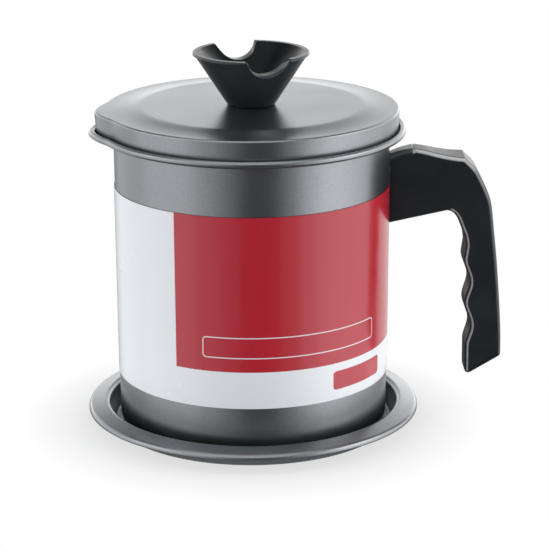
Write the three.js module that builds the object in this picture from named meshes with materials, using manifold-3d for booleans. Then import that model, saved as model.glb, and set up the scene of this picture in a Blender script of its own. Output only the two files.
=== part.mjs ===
// Kitchen oil pot on its drip tray, with a lift-out strainer and a loose lid.
// Millimetres, +Z up. The origin is the middle of the tray's underside, the handle points to +X
// and the spout almost to -X.
import * as THREE from 'three';
import { mergeVertices } from 'three/addons/utils/BufferGeometryUtils.js';
import Module from 'manifold-3d';

// Clearances
const seatGap = 0.3; // between a loose piece and what it rests on
const fitGap = 0.3; // round a fastener, and between pieces that are bolted together
const cutOverrun = 2; // how far a cutting body passes the piece that it cuts

// Drip tray
const trayGauge = 0.8;
const trayWellGap = 3.2; // between the pot's foot and the foot of the well's wall
const trayWallRun = 2.8; // how far the well's wall leans out
const trayFlangeWidth = 9;
const trayHeight = 10.6;
const trayFlangeDrop = 1.1;
const trayLipHeight = 2.2;
const trayCornerRadius = 2.4;
const trayEdgeRadius = 1.4;

// Pot
const potFootRadius = 62.5;
const potMouthRadius = 63.3;
const potGauge = 0.6;
const potLedgeHeight = 137; // from the foot to the underside of the ledge
const potLedgeWidth = 5.1; // the strainer's flange rests on it
const potNeckHeight = 2.3; // from the underside of the ledge to the middle of the curled rim
const potCurlRadius = 1.55;
const potCurlEnd = -100; // degrees, where the curl stops under the rim
const potCornerRadius = 5;
const potFloorRise = 1.5;
const potFloorRiseRadius = 50;
const potFloorRiseRun = 2.5;

// Spout of the pot and beak of the lid
const spoutReach = 3.8;
const beakReach = 3.6;
const beakHeadShare = 1.15; // reach of the beak's top edge against that of its foot
const spoutHalfAngle = 16;
const spoutTurn = 5.4; // degrees that the spout stands off the line through the handle, towards -Y

// Paper sleeve
const labelGauge = 0.25;
const labelGap = 0.15;
const labelDrop = 23; // from the pot's ledge down to the sleeve's top edge
const labelHeight = 88.7;
const labelOpenAngle = 12; // left free for the handle

// Strainer
const strainerGauge = 0.5;
const strainerWallGap = 0.8; // from the pot's wall to the strainer's, at the top
const strainerFlangeGap = 0.6; // from the flange's edge to the pot's neck
const strainerDepth = 40.5;
const strainerTaper = 5;
const strainerCornerRadius = 2;
const strainerShelfWidth = 8;
const meshPitch = 10;
const meshWireWidth = 1;
const meshThickness = 0.6;
const meshEdgeWidth = 1.5;
const clampRingWidth = 6;
const clampRingThickness = 0.6;

// Lid
const lidGauge = 0.6;
const lidSkirtGap = 0.5; // from the foot of the skirt to the pot's neck
const lidSkirtFlare = 0.5;
const lidSkirtHeight = 10.8;
const lidEdgeRadius = 1;
const lidPlateauRadius = 48.5;
const lidPlateauRise = 1.2;
const lidPlateauRun = 12.2;

// Knob
const knobBaseRadius = 10.95;
const knobRimRadius = 26.6;
const knobHeight = 24.2;
const knobWall = 3;
const knobFloorHeight = 9; // from the base to the floor of the hollow
const knobFloorRadius = 6.5;
const knobRimBand = 1.3;
const knobNotchRadius = 10.6;
const knobNotchDepth = 7.1;
const knobNotchTurn = 17.9; // degrees from the pot's side towards the handle
const knobInsertRadius = 4.6;
const knobInsertLength = 6.2;
const knobScrewRadius = 2.5;
const knobScrewHeadRadius = 4.6;
const knobScrewHeadHeight = 3;
const knobWasherRadius = 6.5;
const knobWasherThickness = 0.8;

// Handle
const gripReach = 52.7; // from the pot's wall to the handle's back
const gripDrop = 6.9; // from the pot's ledge down to the handle's highest point
const gripHeight = 110.2;
const gripWidth = 24; // at the top of the back, from where both sides taper
const gripTipWidth = 19; // at the foot of the back
const gripRootWall = 1.2; // left on each side of the bracket at the top of the root
const gripEdgeRadius = 1.6;
const gripScallopPitch = 21.4;
const gripScallopDepth = 2.6;

// Bracket and screw of the handle
const bracketThickness = 1.2;
const bracketPlateWidth = 7;
const bracketPlateHeight = 20;
const bracketPlateDrop = 13; // from the pot's ledge down to the plate's top edge
const tongueWidth = 7; // the nut's flats are as far apart
const tongueThickness = 2;
const tongueLength = 23;
const tongueHeight = 8.5; // from the plate's bottom edge to the tongue's underside
const handleScrewRadius = 2;
const handleScrewHeadRadius = 3.8;
const handleScrewHeadHeight = 2.6;
const handleScrewOffset = 15.5; // from the plate's outer face to the screw's axis
const handleScrewSeat = 4.7; // material between the screw's seat and the tongue's slot
const handleWasherRadius = 4;
const handleWasherThickness = 0.8;
const handleNutHeight = 3.2;
const screwEnd = 1; // how far a screw passes its nut

// Faceting
const ringSteps = 56;
const smallRingSteps = 40;
const fastenerSteps = 16;
const arcStepAngle = 45;
const scallopSteps = 8;
const gripBackSteps = 14;

// Places that follow from the sizes above
const potFootZ = trayGauge + seatGap;
const potLedgeZ = potFootZ + potLedgeHeight;
const potNeckRadius = potMouthRadius - potGauge + potLedgeWidth; // inside of the neck
const potCurlZ = potLedgeZ + potNeckHeight;
const flangeZ = potLedgeZ + potGauge + seatGap; // underside of the strainer's flange
const lidSkirtZ = flangeZ + strainerGauge + seatGap;
const lidTopZ = lidSkirtZ + lidSkirtHeight;
const plateauZ = lidTopZ + lidPlateauRise;
const knobBaseZ = plateauZ + seatGap;
const knobRimZ = knobBaseZ + knobHeight;

// Outer radius of the pot's wall at a height.
function potRadiusAt(z) {
  const share = (z - potFootZ) / potLedgeHeight;
  return potFootRadius + (potMouthRadius - potFootRadius) * share;
}

const wasm = await Module();
wasm.setup();

// Turns a closed geometry into a solid that can be cut and joined.
function solidOf(geometry) {
  const bare = geometry.clone();
  bare.deleteAttribute('normal');
  bare.deleteAttribute('uv');
  const merged = mergeVertices(bare, 1e-4);
  return new wasm.Manifold(new wasm.Mesh({
    numProp: 3,
    vertProperties: new Float32Array(merged.attributes.position.array),
    triVerts: new Uint32Array(merged.index.array),
  }));
}

// Turns a solid back into a geometry.
function geometryOf(solid) {
  const mesh = solid.getMesh();
  const geometry = new THREE.BufferGeometry();
  geometry.setAttribute('position', new THREE.BufferAttribute(mesh.vertProperties, 3));
  geometry.setIndex(new THREE.BufferAttribute(mesh.triVerts, 1));
  geometry.computeVertexNormals();
  return geometry;
}

// A corner of a sheet's outline: radius and height, the fillet there, and how far it follows the spout.
function corner(r, z, round = 0, lip = 0) {
  return { r, z, round, lip };
}

// Replaces each rounded corner of a path with an arc that is tangent to both of its sides.
function roundCorners(corners) {
  const path = [];
  corners.forEach((here, i) => {
    const before = corners[i - 1];
    const after = corners[i + 1];
    if (!before || !after || !here.round) {
      path.push(here);
      return;
    }
    const arriving = new THREE.Vector2(here.r - before.r, here.z - before.z);
    const leaving = new THREE.Vector2(after.r - here.r, after.z - here.z);
    const room = Math.min(arriving.length(), leaving.length()) / 2;
    arriving.normalize();
    leaving.normalize();
    const turn = Math.atan2(arriving.cross(leaving), arriving.dot(leaving));
    const back = Math.min(here.round * Math.tan(Math.abs(turn) / 2), room);
    const radius = back / Math.tan(Math.abs(turn) / 2);
    const side = Math.sign(turn);
    const start = new THREE.Vector2(here.r, here.z).addScaledVector(arriving, -back);
    const inward = new THREE.Vector2(-arriving.y, arriving.x).multiplyScalar(side * radius);
    const centre = start.clone().add(inward);
    const steps = Math.max(2, Math.round(THREE.MathUtils.radToDeg(Math.abs(turn)) / arcStepAngle));
    for (let k = 0; k <= steps; k += 1) {
      const point = start.clone().rotateAround(centre, (turn * k) / steps);
      path.push({ r: point.x, z: point.y, lip: here.lip });
    }
  });
  return path;
}

// Points of an arc round a centre, from one angle to another in degrees.
function arc(r, z, radius, from, to, lip = 0) {
  const steps = Math.max(2, Math.round(Math.abs(to - from) / arcStepAngle));
  return Array.from({ length: steps + 1 }, (_, k) => {
    const angle = THREE.MathUtils.degToRad(from + ((to - from) * k) / steps);
    return { r: r + radius * Math.cos(angle), z: z + radius * Math.sin(angle), lip };
  });
}

// Gives a path the thickness of a sheet: the path is one face, and the other lies to its left.
function sheetProfile(path, gauge) {
  const other = path.map((here, i) => {
    const before = path[Math.max(i - 1, 0)];
    const after = path[Math.min(i + 1, path.length - 1)];
    const arriving = new THREE.Vector2(here.r - before.r, here.z - before.z).normalize();
    const leaving = new THREE.Vector2(after.r - here.r, after.z - here.z).normalize();
    const along = arriving.clone().add(leaving).normalize();
    const alongSide = arriving.lengthSq() ? arriving : leaving;
    const reach = gauge / along.dot(alongSide);
    return { r: Math.max(here.r - along.y * reach, 0), z: here.z + along.x * reach, lip: here.lip };
  });
  return [...path, ...other.reverse()];
}

// Outward swell of the spout at an angle about the z axis, from 0 to 1.
function spoutSwell(angle) {
  const turn = THREE.MathUtils.radToDeg(angle) - spoutTurn;
  const fromSpout = Math.abs(THREE.MathUtils.euclideanModulo(turn, 360) - 180);
  const tipShare = 1.45;
  const blendShare = 0.15;
  const slope = 1 - (fromSpout / spoutHalfAngle) ** tipShare;
  if (slope > blendShare) return slope;
  return slope < -blendShare ? 0 : (slope + blendShare) ** 2 / (4 * blendShare);
}

// Turns a profile about the z axis, and pushes its lip points out at the spout.
function revolve(profile, reach = 0, steps = ringSteps) {
  const first = profile[0];
  const last = profile[profile.length - 1];
  const closed = first.r === 0 && last.r === 0;
  const loop = closed ? profile : [...profile, first];
  const area = loop.reduce((sum, p, i) => {
    const q = loop[(i + 1) % loop.length];
    return sum + p.r * q.z - q.r * p.z;
  }, 0);
  const ordered = area > 0 ? loop : [...loop].reverse();
  const geometry = new THREE.LatheGeometry(ordered.map((p) => new THREE.Vector2(p.r, p.z)), steps);
  geometry.rotateX(Math.PI / 2);
  const position = geometry.attributes.position;
  for (let i = 0; i < position.count && reach; i += 1) {
    const x = position.getX(i);
    const y = position.getY(i);
    const push = ordered[i % ordered.length].lip * reach * spoutSwell(Math.atan2(y, x));
    const scale = push ? 1 + push / Math.hypot(x, y) : 1;
    position.setXY(i, x * scale, y * scale);
  }
  return geometry;
}

// A flat ring or disc between two heights.
function ring(inner, outer, bottom, top, steps = fastenerSteps) {
  const section = [corner(inner, bottom), corner(outer, bottom), corner(outer, top), corner(inner, top)];
  return revolve(section, 0, steps);
}

// A cylinder along z between two heights, at a place in the xy plane.
function post(radius, bottom, top, x = 0, steps = fastenerSteps) {
  const geometry = new THREE.CylinderGeometry(radius, radius, top - bottom, steps);
  geometry.rotateX(Math.PI / 2);
  geometry.translate(x, 0, (bottom + top) / 2);
  return geometry;
}

// A box between two corners.
function block(x0, x1, width, z0, z1) {
  const geometry = new THREE.BoxGeometry(x1 - x0, width, z1 - z0);
  geometry.translate((x0 + x1) / 2, 0, (z0 + z1) / 2);
  return geometry;
}

function dripTray() {
  const floorRadius = potFootRadius + trayWellGap;
  const mouthRadius = floorRadius + trayWallRun;
  const underside = trayHeight - trayGauge;
  const edge = underside - trayFlangeDrop;
  const lipRadius = mouthRadius + trayFlangeWidth - trayGauge;
  const path = roundCorners([
    corner(0, 0),
    corner(floorRadius, 0, trayCornerRadius),
    corner(mouthRadius, underside, trayEdgeRadius),
    corner(lipRadius, edge, trayEdgeRadius),
    corner(lipRadius, edge - trayLipHeight + trayGauge),
  ]);
  return revolve(sheetProfile(path, trayGauge));
}

function potShell() {
  const neckOuter = potNeckRadius + potGauge;
  const curlCentre = potNeckRadius + potCurlRadius;
  const body = roundCorners([
    corner(0, potFootZ + potFloorRise),
    corner(potFloorRiseRadius, potFootZ + potFloorRise, potFloorRiseRun / 2),
    corner(potFloorRiseRadius + potFloorRiseRun, potFootZ, potFloorRiseRun / 2),
    corner(potFootRadius, potFootZ, potCornerRadius),
    corner(potMouthRadius, potLedgeZ, potCurlRadius),
    corner(neckOuter, potLedgeZ, potCurlRadius, 1),
    corner(neckOuter, potCurlZ, 0, 1),
  ]);
  body.pop();
  const curl = arc(curlCentre, potCurlZ, potCurlRadius - potGauge, 180, potCurlEnd, 1);
  return revolve(sheetProfile([...body, ...curl], potGauge), spoutReach);
}

function labelSleeve() {
  const top = potLedgeZ - labelDrop;
  const bottom = top - labelHeight;
  const inner = (z) => potRadiusAt(z) + labelGap;
  const sleeve = revolve([
    corner(inner(bottom), bottom),
    corner(inner(bottom) + labelGauge, bottom),
    corner(inner(top) + labelGauge, top),
    corner(inner(top), top),
  ]);
  const half = THREE.MathUtils.degToRad(labelOpenAngle / 2);
  const far = 2 * potMouthRadius;
  const wedge = new THREE.Shape();
  wedge.moveTo(0, 0);
  wedge.lineTo(far * Math.cos(half), -far * Math.sin(half));
  wedge.lineTo(far * Math.cos(half), far * Math.sin(half));
  const depth = labelHeight + 2 * cutOverrun;
  const opening = new THREE.ExtrudeGeometry(wedge, { depth, bevelEnabled: false });
  opening.translate(0, 0, bottom - cutOverrun);
  return geometryOf(solidOf(sleeve).subtract(solidOf(opening)));
}

// The strainer's sizes that its three pieces share.
const strainerTopRadius = potMouthRadius - potGauge - strainerWallGap;
const strainerFootRadius = strainerTopRadius - strainerTaper;
const strainerFootZ = flangeZ - strainerDepth;
const strainerClampRadius = strainerFootRadius - strainerGauge - strainerCornerRadius;
const meshZ = strainerFootZ + strainerGauge + seatGap;
const clampRingZ = meshZ + meshThickness + seatGap;

function strainerCup() {
  const path = roundCorners([
    corner(strainerFootRadius - strainerShelfWidth, strainerFootZ),
    corner(strainerFootRadius, strainerFootZ, strainerCornerRadius),
    corner(strainerTopRadius, flangeZ, strainerCornerRadius / 2),
    corner(potNeckRadius - strainerFlangeGap, flangeZ),
  ]);
  return revolve(sheetProfile(path, strainerGauge));
}

// A flat net: a round sheet with square gaps between the wires that cross it both ways.
function strainerMesh() {
  const side = meshPitch - meshWireWidth;
  const reach = strainerClampRadius - meshEdgeWidth;
  const count = Math.ceil(reach / meshPitch);
  let net = solidOf(post(strainerClampRadius, meshZ, meshZ + meshThickness, 0, smallRingSteps));
  for (let row = -count; row <= count; row += 1) {
    for (let column = -count; column <= count; column += 1) {
      const x = row * meshPitch;
      const y = column * meshPitch;
      if (Math.hypot(Math.abs(x) + side / 2, Math.abs(y) + side / 2) < reach) {
        const gap = block(x - side / 2, x + side / 2, side, meshZ - cutOverrun, meshZ + cutOverrun);
        net = net.subtract(solidOf(gap.translate(0, y, 0)));
      }
    }
  }
  return geometryOf(net);
}

function strainerRing() {
  const inner = strainerClampRadius - clampRingWidth;
  return ring(inner, strainerClampRadius, clampRingZ, clampRingZ + clampRingThickness, smallRingSteps);
}

function lidShell() {
  const foot = potNeckRadius - lidSkirtGap;
  const head = foot + lidSkirtFlare;
  const slopeEnd = lidPlateauRadius + lidPlateauRun;
  const path = roundCorners([
    corner(foot, lidSkirtZ, 0, 1),
    corner(head, lidTopZ, lidEdgeRadius, beakHeadShare),
    corner(slopeEnd, lidTopZ),
    corner(lidPlateauRadius, plateauZ),
    corner(knobScrewRadius + fitGap, plateauZ),
  ]);
  return revolve(sheetProfile(path, lidGauge), beakReach);
}

function lidKnob() {
  const outerSlope = (knobRimRadius - knobBaseRadius) / knobHeight;
  const bandRadius = knobBaseRadius + outerSlope * (knobHeight - knobRimBand);
  const rimInner = knobRimRadius - knobWall;
  const floorZ = knobBaseZ + knobFloorHeight;
  const pocketTop = knobBaseZ + fitGap + knobInsertLength + fitGap;
  const profile = roundCorners([
    corner(0, pocketTop),
    corner(knobInsertRadius + fitGap, pocketTop),
    corner(knobInsertRadius + fitGap, knobBaseZ),
    corner(knobBaseRadius, knobBaseZ),
    corner(bandRadius, knobRimZ - knobRimBand),
    corner(knobRimRadius, knobRimZ - knobRimBand, knobRimBand / 2),
    corner(knobRimRadius, knobRimZ, knobRimBand / 2),
    corner(rimInner, knobRimZ, knobRimBand / 2),
    corner(knobFloorRadius, floorZ, knobWall),
    corner(0, floorZ),
  ]);
  const body = solidOf(revolve(profile, 0, smallRingSteps));
  const length = 2 * (knobRimRadius + cutOverrun);
  const notch = new THREE.CylinderGeometry(knobNotchRadius, knobNotchRadius, length, fastenerSteps);
  notch.rotateZ(THREE.MathUtils.degToRad(knobNotchTurn));
  notch.translate(0, 0, knobRimZ - knobNotchDepth + knobNotchRadius);
  return geometryOf(body.subtract(solidOf(notch)));
}

// The knob's insert, screw and washer stand on one axis under the lid's middle.
const knobWasherTop = plateauZ - lidGauge - seatGap;
const knobHeadTop = knobWasherTop - knobWasherThickness - seatGap;
const knobInsertZ = knobBaseZ + fitGap;

function knobInsert() {
  return ring(knobScrewRadius + fitGap, knobInsertRadius, knobInsertZ, knobInsertZ + knobInsertLength);
}

function knobWasher() {
  return ring(knobScrewRadius + fitGap, knobWasherRadius, knobWasherTop - knobWasherThickness, knobWasherTop);
}

// A pan-head screw along z: the head lies below its seat and the shank goes up from it.
function panScrew(headRadius, headHeight, shankRadius, seat, end) {
  const crown = headHeight / 2;
  return revolve([
    corner(0, seat - headHeight),
    corner(headRadius - crown, seat - headHeight),
    corner(headRadius, seat - crown),
    corner(headRadius, seat),
    corner(shankRadius, seat),
    corner(shankRadius, end),
    corner(0, end),
  ], 0, fastenerSteps);
}

function knobScrew() {
  const end = knobInsertZ + knobInsertLength - fitGap;
  return panScrew(knobScrewHeadRadius, knobScrewHeadHeight, knobScrewRadius, knobHeadTop, end);
}

// Where the handle meets the pot, and the places of its bracket and screw.
const gripTop = potLedgeZ - gripDrop;
const gripTip = gripTop - gripHeight;
const plateZ = potLedgeZ - bracketPlateDrop - bracketPlateHeight;
const wallAtHandle = Math.max(potRadiusAt(plateZ), potRadiusAt(plateZ + bracketPlateHeight));
const bracketInner = wallAtHandle + fitGap;
const bracketOuter = bracketInner + bracketThickness;
const tongueZ = plateZ + tongueHeight;
const tongueEnd = bracketOuter + tongueLength;
const nutZ = tongueZ + tongueThickness + fitGap;
const nutTop = nutZ + handleNutHeight;
const nutSides = 6;
const nutRadius = tongueWidth / 2 / Math.cos(Math.PI / nutSides);
const screwX = bracketOuter + handleScrewOffset;
const screwSeatZ = tongueZ - fitGap - handleScrewSeat;
const handleWasherTop = screwSeatZ - fitGap;
const handleHeadTop = handleWasherTop - handleWasherThickness - fitGap;

// A slice of a cylinder about the z axis that a box cuts out of it.
function curvedPlate(inner, outer, width, bottom, top) {
  const tube = solidOf(ring(inner, outer, bottom, top, ringSteps));
  return tube.intersect(solidOf(block(0, outer + cutOverrun, width, bottom - cutOverrun, top + cutOverrun)));
}

function handleBracket() {
  const plateTop = plateZ + bracketPlateHeight;
  const plate = curvedPlate(bracketInner, bracketOuter, bracketPlateWidth, plateZ, plateTop);
  const root = bracketInner + bracketThickness / 2;
  const tongue = solidOf(block(root, tongueEnd, tongueWidth, tongueZ, tongueZ + tongueThickness));
  const hole = solidOf(post(handleScrewRadius + fitGap, tongueZ - cutOverrun, nutZ + cutOverrun, screwX));
  return geometryOf(plate.add(tongue).subtract(hole));
}

// Side view of the handle. The points are shares of its reach and of its height, from the tip up.
function gripOutline() {
  const at = (across, up) => new THREE.Vector2(wallAtHandle + across * gripReach, gripTip + up * gripHeight);
  const shape = new THREE.Shape();
  const underShare = 0.673;
  const topShare = 0.982;
  const start = at(0, underShare);
  const crest = at(0.222, 1);
  const root = at(0, topShare);
  shape.moveTo(start.x - cutOverrun, start.y);
  shape.lineTo(root.x - cutOverrun, root.y);
  shape.lineTo(root.x, root.y);
  shape.lineTo(crest.x, crest.y);
  const rearCrest = at(0.415, 0.98);
  shape.lineTo(rearCrest.x, rearCrest.y);
  const backShares = [[0.656, 0.9635], [0.751, 0.917], [0.852, 0.823], [0.889, 0.767], [0.919, 0.646],
    [0.979, 0.339], [1, 0.099]];
  const back = new THREE.SplineCurve(backShares.map(([across, up]) => at(across, up)));
  back.getPoints(gripBackSteps).forEach((point) => shape.lineTo(point.x, point.y));
  const tip = at(0.685, 0);
  shape.lineTo(tip.x, tip.y);
  const lowRidgeShare = 0.136;
  const lowRidge = at(0.684, lowRidgeShare);
  const highRidge = at(0.657, lowRidgeShare + (2 * gripScallopPitch) / gripHeight);
  for (let i = 0; i <= 2 * scallopSteps; i += 1) {
    const share = i / (2 * scallopSteps);
    const dip = gripScallopDepth * Math.sin(Math.PI * 2 * share) ** 2;
    const point = lowRidge.clone().lerp(highRidge, share);
    shape.lineTo(point.x + dip, point.y);
  }
  const upperDip = at(0.675, 0.585);
  const throat = at(0.63, 0.664);
  const throatCorner = at(0.6, 0.724);
  const armEnd = at(0.51, 0.735);
  shape.lineTo(upperDip.x, upperDip.y);
  shape.lineTo(throat.x, throat.y);
  shape.quadraticCurveTo(throatCorner.x, throatCorner.y, armEnd.x, armEnd.y);
  shape.lineTo(start.x, start.y);
  return shape;
}

// Width of the handle at a place of its side view: both side faces stay flat.
function gripWidthAt(x, z) {
  const rootWidth = Math.max(bracketPlateWidth, tongueWidth) + 2 * (fitGap + gripRootWall);
  const across = (x - wallAtHandle) / gripReach;
  const up = (z - gripTip) / gripHeight;
  return gripWidth - (1 - across) * (gripWidth - rootWidth) - (1 - up) * (gripWidth - gripTipWidth);
}

function handleGrip() {
  const bevel = gripEdgeRadius;
  const body = new THREE.ExtrudeGeometry(gripOutline(), {
    depth: gripWidth - 2 * bevel,
    bevelEnabled: true,
    bevelThickness: bevel,
    bevelSize: bevel,
    bevelOffset: -bevel,
    bevelSegments: 2,
    curveSegments: 6,
  });
  body.rotateX(Math.PI / 2);
  body.translate(0, gripWidth / 2 - bevel, 0);
  const position = body.attributes.position;
  for (let i = 0; i < position.count; i += 1) {
    const taper = gripWidthAt(position.getX(i), position.getZ(i)) / gripWidth;
    position.setY(i, position.getY(i) * taper);
  }
  const wall = post(bracketInner, gripTip - cutOverrun, gripTop + cutOverrun, 0, ringSteps);
  const recess = curvedPlate(
    bracketInner - bracketThickness,
    bracketOuter + fitGap,
    bracketPlateWidth + 2 * fitGap,
    plateZ - fitGap,
    plateZ + bracketPlateHeight + fitGap,
  );
  const slotTop = nutTop + screwEnd + fitGap;
  const slot = block(wallAtHandle, tongueEnd + fitGap, tongueWidth + 2 * fitGap, tongueZ - fitGap, slotTop);
  const hole = post(handleScrewRadius + fitGap, gripTip, tongueZ, screwX);
  const counterbore = post(handleWasherRadius + fitGap, gripTip, screwSeatZ, screwX);
  let grip = solidOf(body).subtract(solidOf(wall)).subtract(recess);
  [slot, hole, counterbore].forEach((cutter) => {
    grip = grip.subtract(solidOf(cutter));
  });
  return geometryOf(grip);
}

function handleScrew() {
  const geometry = panScrew(
    handleScrewHeadRadius,
    handleScrewHeadHeight,
    handleScrewRadius,
    handleHeadTop,
    nutTop + screwEnd,
  );
  return geometry.translate(screwX, 0, 0);
}

function handleWasher() {
  const inner = handleScrewRadius + fitGap;
  const washer = ring(inner, handleWasherRadius, handleWasherTop - handleWasherThickness, handleWasherTop);
  return washer.translate(screwX, 0, 0);
}

function handleNut() {
  const blank = post(nutRadius, nutZ, nutTop, 0, nutSides);
  const nut = solidOf(blank.rotateZ(Math.PI / nutSides).translate(screwX, 0, 0));
  const bore = post(handleScrewRadius + fitGap, nutZ - cutOverrun, nutTop + cutOverrun, screwX);
  return geometryOf(nut.subtract(solidOf(bore)));
}

// Colour, roughness and metalness of each material
const finishes = {
  coatedSteel: { color: '#5d6166', roughness: 0.38, metalness: 0.75 },
  bareSteel: { color: '#b9bcc0', roughness: 0.3, metalness: 1 },
  brass: { color: '#b5925a', roughness: 0.35, metalness: 1 },
  blackPlastic: { color: '#1f2427', roughness: 0.35, metalness: 0 },
  paper: { color: '#a82a35', roughness: 0.4, metalness: 0 },
};

const pieces = [
  ['drip_tray', dripTray, 'coatedSteel'],
  ['pot_shell', potShell, 'coatedSteel'],
  ['label_sleeve', labelSleeve, 'paper'],
  ['handle_bracket', handleBracket, 'bareSteel'],
  ['handle_grip', handleGrip, 'blackPlastic'],
  ['handle_screw', handleScrew, 'bareSteel'],
  ['handle_washer', handleWasher, 'bareSteel'],
  ['handle_nut', handleNut, 'bareSteel'],
  ['strainer_cup', strainerCup, 'bareSteel'],
  ['strainer_mesh', strainerMesh, 'bareSteel'],
  ['strainer_ring', strainerRing, 'bareSteel'],
  ['lid_shell', lidShell, 'coatedSteel'],
  ['lid_knob', lidKnob, 'blackPlastic'],
  ['knob_insert', knobInsert, 'brass'],
  ['knob_screw', knobScrew, 'bareSteel'],
  ['knob_washer', knobWasher, 'bareSteel'],
];

const oilPot = new THREE.Group();
pieces.forEach(([name, build, finish]) => {
  const mesh = new THREE.Mesh(build(), new THREE.MeshStandardMaterial(finishes[finish]));
  mesh.name = name;
  oilPot.add(mesh);
});

export default oilPot;
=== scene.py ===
# Oil pot with its lid, strainer and drip tray, in metres; the handle points to +X and the spout to -X
from math import atan2, cos, degrees, hypot, pi, radians, sin, sqrt, tan

import bmesh
import bpy
from mathutils import Matrix, Vector


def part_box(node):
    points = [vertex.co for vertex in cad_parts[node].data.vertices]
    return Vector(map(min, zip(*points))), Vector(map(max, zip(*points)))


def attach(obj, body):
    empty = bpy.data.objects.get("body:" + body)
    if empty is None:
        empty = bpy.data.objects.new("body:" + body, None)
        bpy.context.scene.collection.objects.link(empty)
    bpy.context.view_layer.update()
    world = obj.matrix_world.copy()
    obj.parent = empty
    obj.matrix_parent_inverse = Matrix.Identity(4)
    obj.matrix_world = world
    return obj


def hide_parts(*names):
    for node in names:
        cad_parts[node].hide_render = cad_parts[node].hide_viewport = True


mm = 0.001

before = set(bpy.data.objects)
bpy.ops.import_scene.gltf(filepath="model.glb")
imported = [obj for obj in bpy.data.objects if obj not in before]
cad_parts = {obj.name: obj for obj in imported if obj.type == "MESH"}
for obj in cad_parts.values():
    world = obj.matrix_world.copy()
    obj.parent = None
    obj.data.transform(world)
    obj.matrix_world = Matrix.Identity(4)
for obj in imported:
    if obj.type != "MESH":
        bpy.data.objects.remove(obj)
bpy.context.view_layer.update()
print("frame loaded")

# Places that several pieces share, read from the frame
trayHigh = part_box("drip_tray")[1]
potLow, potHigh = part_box("pot_shell")
lidLow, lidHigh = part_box("lid_shell")
knobLow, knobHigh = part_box("lid_knob")
gripLow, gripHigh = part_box("handle_grip")
cupLow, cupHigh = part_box("strainer_cup")
labelLow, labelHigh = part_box("label_sleeve")
netLow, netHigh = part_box("strainer_mesh")


# Camera at the photograph's place, worked out from the circles of the tray, rim and lid

cameraSettings = {
    "distance": 1.0884,  # from the pot's axis, along the table
    "height": 0.3992,
    "turn": 1.1,  # degrees that the handle points away from the camera's picture plane
    "pitch": 16.83,
    "yaw": 0.554,
    "roll": -0.221,
    "focalPixels": 2435.7,
    "framePixels": 550,
    "sensor": 36.0,
    "clip": (0.05, 20),
}


def addCamera(s):
    data = bpy.data.cameras.new("camera")
    data.sensor_width = s["sensor"]
    data.lens = s["focalPixels"] / s["framePixels"] * s["sensor"]
    data.clip_start, data.clip_end = s["clip"]
    camera = bpy.data.objects.new("camera", data)
    bpy.context.scene.collection.objects.link(camera)
    turn = radians(s["turn"])
    heading = turn + radians(s["yaw"])
    pitch = radians(s["pitch"])
    camera.location = (-s["distance"] * sin(turn), -s["distance"] * cos(turn), s["height"])
    aim = Matrix.Rotation(-heading, 3, "Z") @ Matrix.Rotation(pi / 2 - pitch, 3, "X")
    camera.rotation_euler = (aim @ Matrix.Rotation(radians(s["roll"]), 3, "Z")).to_euler()
    bpy.context.scene.camera = camera


addCamera(cameraSettings)
print("camera placed")


# Material helpers

def newMaterial(name):
    mat = bpy.data.materials.new(name)
    mat.use_nodes = True
    nodes = mat.node_tree.nodes
    shader = nodes["Principled BSDF"]
    coords = nodes.new("ShaderNodeTexCoord")
    return mat, mat.node_tree, shader, coords.outputs["Object"]


def addNoise(tree, vector, scale, detail=3.0, roughness=0.55):
    noise = tree.nodes.new("ShaderNodeTexNoise")
    noise.inputs["Scale"].default_value = scale
    noise.inputs["Detail"].default_value = detail
    noise.inputs["Roughness"].default_value = roughness
    tree.links.new(vector, noise.inputs["Vector"])
    return noise.outputs["Fac"]


def spread(tree, value, low, high, fromLow=0.3, fromHigh=0.7):
    remap = tree.nodes.new("ShaderNodeMapRange")
    remap.inputs["From Min"].default_value = fromLow
    remap.inputs["From Max"].default_value = fromHigh
    remap.inputs["To Min"].default_value = low
    remap.inputs["To Max"].default_value = high
    tree.links.new(value, remap.inputs["Value"])
    return remap.outputs["Result"]


def blendColour(tree, factor, first, second):
    mix = tree.nodes.new("ShaderNodeMix")
    mix.data_type = "RGBA"
    for socket, colour in ((mix.inputs[6], first), (mix.inputs[7], second)):
        if isinstance(colour, tuple):
            socket.default_value = (*colour, 1)
        else:
            tree.links.new(colour, socket)
    tree.links.new(factor, mix.inputs[0])
    return mix.outputs[2]


def splitVector(tree, vector):
    parts = tree.nodes.new("ShaderNodeSeparateXYZ")
    tree.links.new(vector, parts.inputs[0])
    return parts.outputs


def addBump(tree, shader, height, s):
    bump = tree.nodes.new("ShaderNodeBump")
    bump.inputs["Strength"].default_value = s["bump"]
    bump.inputs["Distance"].default_value = s["bumpDepth"] * mm
    tree.links.new(height, bump.inputs["Height"])
    tree.links.new(bump.outputs["Normal"], shader.inputs["Normal"])


def toneFrom(tree, value, s):
    # from a dark tone to a light one along a noise
    return blendColour(tree, spread(tree, value, 0.0, 1.0), s["dark"], s["light"])


def applyFinish(tree, shader, colour, value, s):
    # the base colour, and a roughness that follows a noise
    tree.links.new(colour, shader.inputs["Base Color"])
    tree.links.new(spread(tree, value, *s["roughness"]), shader.inputs["Roughness"])


def calc(tree, operation, a, b=None, clamp=False):
    node = tree.nodes.new("ShaderNodeMath")
    node.operation = operation
    node.use_clamp = clamp
    for socket, value in zip(node.inputs, (a, b)):
        if value is None:
            continue
        if isinstance(value, (int, float)):
            socket.default_value = value
        else:
            tree.links.new(value, socket)
    return node.outputs[0]


def lengthOf(tree, a, b):
    square = calc(tree, "ADD", calc(tree, "POWER", a, 2), calc(tree, "POWER", b, 2))
    return calc(tree, "SQRT", square)


# Materials

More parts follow.
